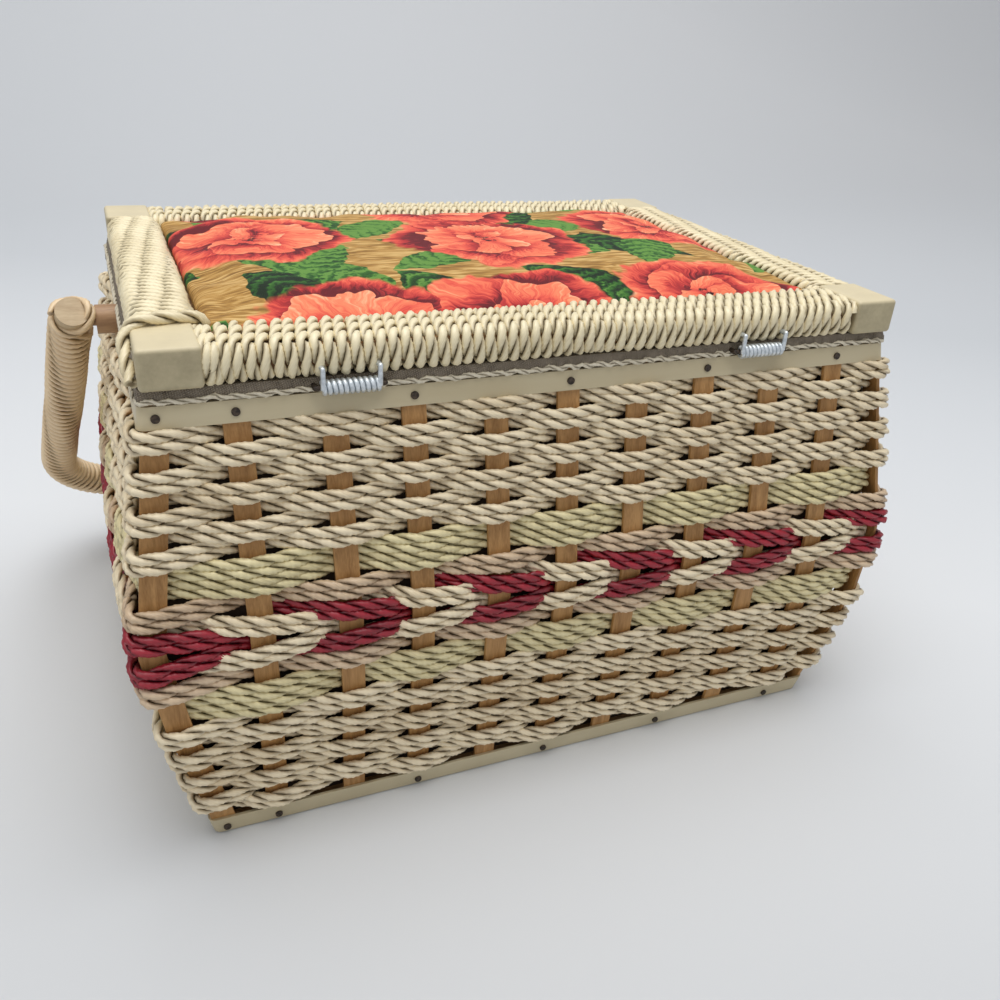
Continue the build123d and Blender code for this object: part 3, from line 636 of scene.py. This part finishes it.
def cushion_start():
    """A closed, slightly crowned slab, a little smaller than the finished pad."""
    body = bmesh.new()
    columns, rows_across = pad_steps
    tops, feet = {}, {}
    for i in range(columns + 1):
        for j in range(rows_across + 1):
            a, b = 2 * i / columns - 1, 2 * j / rows_across - 1
            x = a * pad_half_length * (1 - pull_in_long * (1 - b * b))
            y = b * pad_half_depth * (1 - pull_in_short * (1 - a * a))
            crown = pad_rise * sqrt(max(0, (1 - a ** 4) * (1 - b ** 4)))
            z = pad_edge + crown - pad_fall * max(abs(a) ** 10, abs(b) ** 8)
            tops[i, j] = body.verts.new(Vector((x, y, z)) * MM)
            feet[i, j] = body.verts.new(Vector((x, y, pad_foot)) * MM)
    for i in range(columns):
        for j in range(rows_across):
            body.faces.new((tops[i, j], tops[i + 1, j], tops[i + 1, j + 1], tops[i, j + 1]))
            body.faces.new((feet[i, j], feet[i, j + 1], feet[i + 1, j + 1], feet[i + 1, j]))
    rim_steps = [(i, 0) for i in range(columns)] + [(columns, j) for j in range(rows_across)]
    rim_steps += [(columns - i, rows_across) for i in range(columns)]
    rim_steps += [(0, rows_across - j) for j in range(rows_across)]
    for one, two in zip(rim_steps, rim_steps[1:] + rim_steps[:1]):
        body.faces.new((tops[one], feet[one], feet[two], tops[two]))
    bmesh.ops.recalc_face_normals(body, faces=body.faces)
    mesh = bpy.data.meshes.new("lid_cushion")
    body.to_mesh(mesh)
    body.free()
    return plain_object("lid_cushion", mesh)


cushion = cushion_start()
held = cushion.vertex_groups.new(name="glued_edge")
for vertex in cushion.data.vertices:
    x, y, z = vertex.co / MM
    edge = max(abs(x) / pad_half_length, abs(y) / pad_half_depth)
    if z < pad_foot + 0.1 or edge > glued_from:
        held.add([vertex.index], 1.0, "REPLACE")
before_swell = [v.co.copy() for v in cushion.data.vertices]
cloth = cushion.modifiers.new("swell", "CLOTH")
cloth.settings.use_pressure = True
cloth.settings.uniform_pressure_force = 2.5
cloth.settings.vertex_group_mass = "glued_edge"
cloth.settings.effector_weights.gravity = 0.0
cloth.settings.tension_stiffness = 40.0
cloth.settings.shrink_min = -0.015
cloth.point_cache.frame_end = swell_frames
for frame_number in range(1, swell_frames + 1):
    bpy.context.scene.frame_set(frame_number)
graph = bpy.context.evaluated_depsgraph_get()
swollen = [v.co.copy() for v in cushion.evaluated_get(graph).data.vertices]
cushion.modifiers.remove(cloth)
bpy.context.scene.frame_set(1)
for vertex, start, end in zip(cushion.data.vertices, before_swell, swollen):
    move = end - start
    move.x, move.y = move.x * swell_sideways, move.y * swell_sideways
    if move.length > swell_cap * MM:
        move *= swell_cap * MM / move.length
    vertex.co = start + move
soften = cushion.modifiers.new("soften", "SUBSURF")
soften.levels = soften.render_levels = 2
for polygon in cushion.data.polygons:
    polygon.use_smooth = True


def scattered(tree, place, size, seed, ruffle, loose):
    """Scatters one motif to a cell: gives each point its place, angle and distance from
    the motif's heart, in cell sizes, and two chances that are the motif's own."""
    cell = add(tree, "ShaderNodeMapping", {"Vector": place, "Location": (seed, 0.37 * seed, 0),
                                           "Scale": (1 / size, 1 / size, 0)})
    wander = add(tree, "ShaderNodeTexNoise",
                 {"Vector": cell.outputs[0], "Scale": 3.2, "Detail": 3.0, "Roughness": 0.6})
    wander = add(tree, "ShaderNodeVectorMath",
                 {0: wander.outputs["Color"], 1: (0.5, 0.5, 0.5)}, operation="SUBTRACT")
    wander = add(tree, "ShaderNodeVectorMath", {0: wander.outputs[0], "Scale": ruffle},
                 operation="SCALE")
    cell = add(tree, "ShaderNodeVectorMath", {0: cell.outputs[0], 1: wander.outputs[0]},
               operation="ADD")
    heart = add(tree, "ShaderNodeTexVoronoi",
                {"Vector": cell.outputs[0], "Scale": 1.0, "Randomness": loose},
                voronoi_dimensions="2D")
    spot = add(tree, "ShaderNodeVectorMath",
               {0: cell.outputs[0], 1: heart.outputs["Position"]}, operation="SUBTRACT")
    chance = add(tree, "ShaderNodeSeparateColor", {"Color": heart.outputs["Color"]}).outputs
    spin = add(tree, "ShaderNodeMath", {0: chance["Red"], 1: 2 * pi}, operation="MULTIPLY")
    spot = add(tree, "ShaderNodeVectorRotate",
               {"Vector": spot.outputs[0], "Angle": spin.outputs[0]}, rotation_type="Z_AXIS")
    flat = add(tree, "ShaderNodeSeparateXYZ", {"Vector": spot.outputs[0]}).outputs
    angle = add(tree, "ShaderNodeMath", {0: flat["Y"], 1: flat["X"]}, operation="ARCTAN2")
    return flat, angle.outputs[0], heart.outputs["Distance"], chance


def laid_over(tree, below, paint, edge, at):
    """Paints one colour over another wherever edge is lower than at."""
    mask = add(tree, "ShaderNodeMapRange",
               {"Value": edge, "From Min": at, "From Max": at + 0.02, "To Min": 1.0, "To Max": 0.0})
    mix = add(tree, "ShaderNodeMix", {0: mask.outputs[0], 6: below, 7: paint}, data_type="RGBA")
    return mix.outputs[2]


def printed_leaves(tree, place, speck, below, size, seed):
    """Pointed dark leaves with a pale midrib and brushed side veins."""
    flat, _, _, chance = scattered(tree, place, size, seed, 0.22, 0.7)
    side = add(tree, "ShaderNodeMath", {0: flat["Y"]}, operation="ABSOLUTE").outputs[0]
    length = add(tree, "ShaderNodeMath", {0: flat["X"], 1: 1.45}, operation="MULTIPLY")
    length = add(tree, "ShaderNodeMath", {0: length.outputs[0], 1: 2.0}, operation="POWER")
    edge = add(tree, "ShaderNodeMath", {0: side, 1: 3.1, 2: length.outputs[0]},
               operation="MULTIPLY_ADD")
    vein = add(tree, "ShaderNodeMath", {0: side, 1: -0.8, 2: flat["X"]},
               operation="MULTIPLY_ADD")
    vein = add(tree, "ShaderNodeMath", {0: vein.outputs[0], 1: 52.0}, operation="MULTIPLY")
    vein = add(tree, "ShaderNodeMath", {0: speck, 1: 9.0, 2: vein.outputs[0]},
               operation="MULTIPLY_ADD")
    vein = add(tree, "ShaderNodeMath", {0: vein.outputs[0]}, operation="SINE").outputs[0]
    tone = chance["Green"]
    for pattern, strength in ((speck, 0.9), (vein, 0.3), (side, -1.6)):
        tone = add(tree, "ShaderNodeMath", {0: pattern, 1: strength, 2: tone},
                   operation="MULTIPLY_ADD").outputs[0]
    green = add(tree, "ShaderNodeValToRGB", {"Fac": tone},
                stops=((0.2, "#12220f"), (1.0, "#64903f"), (0.5, "#24491c"), (0.75, "#376826")))
    return laid_over(tree, below, green.outputs["Color"], edge.outputs[0], 0.62)


def printed_blooms(tree, place, speck, below, size, seed):
    """Full ruffled blooms: rings of petals brushed from a dark base to a pale lip."""
    _, angle, reach, chance = scattered(tree, place, size, seed, 0.36, 0.62)
    around = add(tree, "ShaderNodeMath", {0: angle, 1: 0.9, 2: chance["Blue"]},
                 operation="MULTIPLY_ADD").outputs[0]
    outward = add(tree, "ShaderNodeMath", {0: reach, 1: 5.2}, operation="MULTIPLY").outputs[0]
    petal_place = add(tree, "ShaderNodeCombineXYZ", {"X": around, "Y": outward}).outputs[0]
    petal = add(tree, "ShaderNodeTexVoronoi",
                {"Vector": petal_place, "Scale": 1.0, "Randomness": 0.8},
                voronoi_dimensions="2D").outputs
    base = add(tree, "ShaderNodeSeparateXYZ", {"Vector": petal["Position"]})
    lip = add(tree, "ShaderNodeMath", {0: outward, 1: base.outputs["Y"]}, operation="SUBTRACT")
    brush = add(tree, "ShaderNodeMapping", {"Vector": petal_place, "Scale": (16.0, 1.3, 1.0)})
    brush = add(tree, "ShaderNodeTexNoise",
                {"Vector": brush.outputs[0], "Scale": 1.0, "Detail": 4.0, "Roughness": 0.7})
    tint = add(tree, "ShaderNodeSeparateColor", {"Color": petal["Color"]})
    tone = 0.02
    for pattern, strength in ((lip.outputs[0], 0.55), (brush.outputs["Fac"], 1.1),
                              (tint.outputs["Red"], 0.22), (petal["Distance"], -0.3)):
        tone = add(tree, "ShaderNodeMath", {0: pattern, 1: strength, 2: tone},
                   operation="MULTIPLY_ADD").outputs[0]
    coral = add(tree, "ShaderNodeValToRGB", {"Fac": tone},
                stops=((0.16, "#641a20"), (1.0, "#ffc096"), (0.36, "#b83434"), (0.56, "#e75c4a"),
                       (0.8, "#f78a63")))
    edge = add(tree, "ShaderNodeMath", {0: petal["Distance"], 1: 0.12, 2: reach},
               operation="MULTIPLY_ADD")
    over = laid_over(tree, below, coral.outputs["Color"], edge.outputs[0], 0.47)
    heart = add(tree, "ShaderNodeMath", {0: speck, 1: 0.28, 2: reach}, operation="MULTIPLY_ADD")
    return laid_over(tree, over, linear("#3a1a1c"), heart.outputs[0], 0.15)


def printed_cotton():
    """Cotton sateen with a painterly printed garden: full coral blooms and dark leaves
    over an ochre ground that is hatched with fine pale strokes. Leaves repeat every 58
    and 71 mm and blooms every 94. The thread is drawn 0.6 mm wide, as coarse as shows."""
    material, tree, shader, place = new_material("printed_cotton_sateen")
    speck = add(tree, "ShaderNodeTexNoise",
                {"Vector": place, "Scale": 420.0, "Detail": 3.0}).outputs["Fac"]
    stroke = add(tree, "ShaderNodeMapping", {"Vector": place, "Scale": (60.0, 420.0, 60.0),
                                             "Rotation": (0, 0, 0.6)})
    stroke = add(tree, "ShaderNodeTexNoise",
                 {"Vector": stroke.outputs[0], "Scale": 1.0, "Detail": 2.0, "Distortion": 1.5})
    ground = add(tree, "ShaderNodeValToRGB", {"Fac": stroke.outputs["Fac"]},
                 stops=((0.36, "#8a6530"), (0.68, "#dcb878"), (0.5, "#b68a48")))
    colour = ground.outputs["Color"]
    for size, seed in ((0.071, 2.31), (0.058, 7.9)):
        colour = printed_leaves(tree, place, speck, colour, size, seed)
    colour = printed_blooms(tree, place, speck, colour, 0.094, 3.47)
    thread = add(tree, "ShaderNodeTexWave",
                 {"Vector": place, "Scale": 500.0, "Distortion": 0.6})
    bump = add(tree, "ShaderNodeBump",
               {"Height": thread.outputs["Fac"], "Strength": 0.25, "Distance": 0.0001})
    add(tree, shader, {"Base Color": colour, "Normal": bump.outputs[0], "Roughness": 0.7,
                       "Specular IOR Level": 0.25})
    return material


cushion.data.materials.append(printed_cotton())
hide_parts("lid_pad", "lid_cover")
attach(cushion, "lid")

# -------------------------------------------------------------------------- hinges
# Two close coils of galvanised steel wire. Each coil's legs go up into the lid rail,
# and a staple of the same wire through its middle is driven into the rim.
wire = steel("galvanised_steel_wire", "#e2e7ea", "#bcc3c8", 0.3, 700.0, 0.75, 0.42)
dress(wire, "hinge_coils", "latch_loop", "latch_hanger")
dress(nail_steel, "hinge_pins")

# -------------------------------------------------------------------------- handle
# A bent wooden bail on two stout pegs. It is wound from end to end with cord a shade
# warmer than the basket's, and its bare cut ends stand just above the pegs.
handle_reach, span_top, span_foot = 194.2, 338.2, 391.0
handle_bend, handle_stub, bare_end, peg_height = 47.0, 7.0, 0.4, 175.75
handle_lean, bail_steps = radians(43.74), 400
turn_radius, turn_pitch, turn_points, peg_slip = 6.75, 4.3, 9, 5.5
peg_at = handle_stub - bare_end


def bail_line():
    """Points and directions along one half of the hanging bail, as (x, down) in mm."""
    splay = (span_foot - span_top) / 2 / handle_reach
    top = Vector((span_top / 2 - splay * peg_at, -peg_at))
    foot = Vector((span_foot / 2, handle_reach))
    down = (foot - top).normalized()
    bend = acos(-down.x)
    cut = handle_bend * tan(bend / 2)
    bend_start = foot - down * cut
    centre = bend_start + Vector((-down.y, down.x)) * handle_bend
    arm, arc = (bend_start - top).length, handle_bend * bend
    half, line = arm + arc + foot.x - cut, []
    for k in range(bail_steps + 1):
        s = half * k / bail_steps
        if s < arm:
            line.append((top + down * s, down))
        elif s < arm + arc:
            turn = Matrix.Rotation((s - arm) / handle_bend, 2)
            line.append((centre + turn @ (bend_start - centre), turn @ down))
        else:
            line.append((Vector((half - s, handle_reach)), Vector((-1, 0))))
    return line, half


def handle_winding(side):
    """The cord wound round one half of the bail, from its cut end to the middle. Beside
    the peg its turns slip apart on the inside, to go round it."""
    line, half = bail_line()
    path, s, last, angle = [], turn_radius * 0.28, half - 0.1 * turn_pitch, 0.0
    while s < last:
        beside_peg = abs(s - peg_at) < peg_slip
        place = s / half * (len(line) - 1)
        (p, ahead), (q, _) = line[int(place)], line[int(place) + 1]
        centre, outward = p.lerp(q, place % 1), Vector((ahead.y, -ahead.x))
        away = 1 if s > peg_at else -1
        slip = peg_slip * max(0, -cos(angle)) ** 2 * away if beside_peg else 0
        flat = centre + outward * turn_radius * cos(angle) + ahead * slip
        point = Vector((side * flat.x, -turn_radius * sin(angle), -flat.y))
        path.append(Matrix.Rotation(-handle_lean, 4, "X") @ (point * MM))
        angle += 2 * pi / turn_points
        s += turn_pitch / turn_points
    return [p + Vector((0, 0, peg_height * MM)) for p in path]


handle_cord = paper_cord("waxed_paper_cord_handle", "#f6dbb2", "#cba97f", "#8d7350")
handle_winds = laid_cord("handle_cord", [handle_winding(1), handle_winding(-1)], False,
                         handle_cord, 41, Step=0.0019, Size=0.98, Turn=0.026)
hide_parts("handle_wrap")
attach(handle_winds, "handle")
dress(wood("scraped_beech_dowel", "#cfb994", "#a98e6a", (40, 220, 220), 0.3, 0.5), "handle_core")
dress(wood("oiled_beech_peg", "#b9936c", "#8a6546", (40, 220, 220), 0.3, 0.45),
      "handle_pegs", "latch_knob")

# ---------------------------------------------------------------------- inner tray
# A shallow tray of thin planed boards, glued and split into cells, that slides on two
# ledges. Its wood is paler than the rest because the lid keeps the light off it.
tray_wood = wood("planed_limewood", "#d8bf95", "#bd9f74", (26, 240, 240), 0.3, 0.6)
dress(tray_wood, "tray_floor", "tray_sides", "tray_dividers")

# ------------------------------------------------------------ floor, light and camera
# A pale seamless paper sheet lies on the table and sweeps up behind the basket in one
# curve. The light is soft, from above and from the left.
sheet_front, sheet_side, sheet_bend, sheet_radius, sheet_top = 1.6, 2.6, -1.1, 0.9, 2.6
sheet_steps, sheet_line = 24, [(sheet_front, 0.0)]
for k in range(sheet_steps + 1):
    sheet_turn = k / sheet_steps * pi / 2
    sheet_line.append((sheet_bend - sheet_radius * sin(sheet_turn),
                       sheet_radius * (1 - cos(sheet_turn))))
sheet_line.append((sheet_bend - sheet_radius, sheet_top))
sheet_points = [(x, y, z) for y, z in sheet_line for x in (-sheet_side, sheet_side)]
sheet_mesh = bpy.data.meshes.new("paper_sweep")
sheet_mesh.from_pydata(sheet_points, [], [(2 * k, 2 * k + 1, 2 * k + 3, 2 * k + 2)
                                          for k in range(len(sheet_line) - 1)])
for polygon in sheet_mesh.polygons:
    polygon.use_smooth = True
sheet = plain_object("paper_sweep", sheet_mesh)
sheet_paper, paper_tree, paper_shader, paper_place = new_material("matt_white_paper")
# Painted light: the paper's colour is mostly lighter far behind the basket and darker near the
# front and towards the left, standing in for how the lamps light it.
paper_light_falloff = add(paper_tree, "ShaderNodeVectorMath", {0: paper_place, 1: (0.55, 1.0, 0.0)},
                operation="DOT_PRODUCT")
paper_light_falloff = add(paper_tree, "ShaderNodeMapRange",
                {"Value": paper_light_falloff.outputs["Value"], "From Min": -2.4, "From Max": 0.3})
paper_painted_light = add(paper_tree, "ShaderNodeValToRGB", {"Fac": paper_light_falloff.outputs[0]},
                   stops=((0.0, "#fafbfc"), (1.0, "#d3d5d7"), (0.28, "#ebedef"),
                          (0.62, "#dadde0"), (0.86, "#e6e8ea")))
add(paper_tree, paper_shader, {"Base Color": paper_painted_light.outputs["Color"], "Roughness": 0.85})
sheet.data.materials.append(sheet_paper)

scene = bpy.context.scene
scene.view_settings.view_transform = "Standard"
# The room lights the basket softly, and shows as plain pale grey behind it and in its
# metal.
scene.world = bpy.data.worlds.new("pale_room")
scene.world.use_nodes = True
room = scene.world.node_tree
room_light = add(room, room.nodes["Background"], {"Color": linear("#eceef2"), "Strength": 0.43})
room_seen = add(room, "ShaderNodeBackground", {"Color": linear("#dfe1e5"), "Strength": 1.0})
room_ray = add(room, "ShaderNodeLightPath").outputs
room_any = room_ray["Is Camera Ray"]
for ray in ("Is Glossy Ray", "Is Transmission Ray"):
    room_any = add(room, "ShaderNodeMath", {0: room_any, 1: room_ray[ray]},
                   operation="MAXIMUM").outputs[0]
room_mix = add(room, "ShaderNodeMixShader", {0: room_any, 1: room_light.outputs[0],
                                             2: room_seen.outputs[0]})
add(room, room.nodes["World Output"], {"Surface": room_mix.outputs[0]})


def soft_lamp(name, place, power, size):
    """A large soft lamp that looks at the basket's middle."""
    lamp = bpy.data.lights.new(name, "AREA")
    lamp.energy, lamp.size = power, size
    holder = bpy.data.objects.new(name, lamp)
    scene.collection.objects.link(holder)
    holder.location = place
    aim = Vector((0, 0, 0.1)) - Vector(place)
    holder.rotation_euler = aim.to_track_quat("-Z", "Y").to_euler()


soft_lamp("window_above", (0.05, 0.05, 1.7), 22.5, 1.5)
soft_lamp("window_left", (1.3, 0.9, 0.9), 1.8, 1.0)

lens = bpy.data.cameras.new("camera")
lens.lens, lens.sensor_width, lens.sensor_fit = 33.558, 36.0, "HORIZONTAL"
lens.clip_start = 0.01
camera = bpy.data.objects.new("camera", lens)
scene.collection.objects.link(camera)
camera.location = (0.15633, 0.39776, 0.29733)
camera.rotation_euler = [radians(a) for a in (62.0387, -3.5092, 157.4671)]
scene.camera = camera
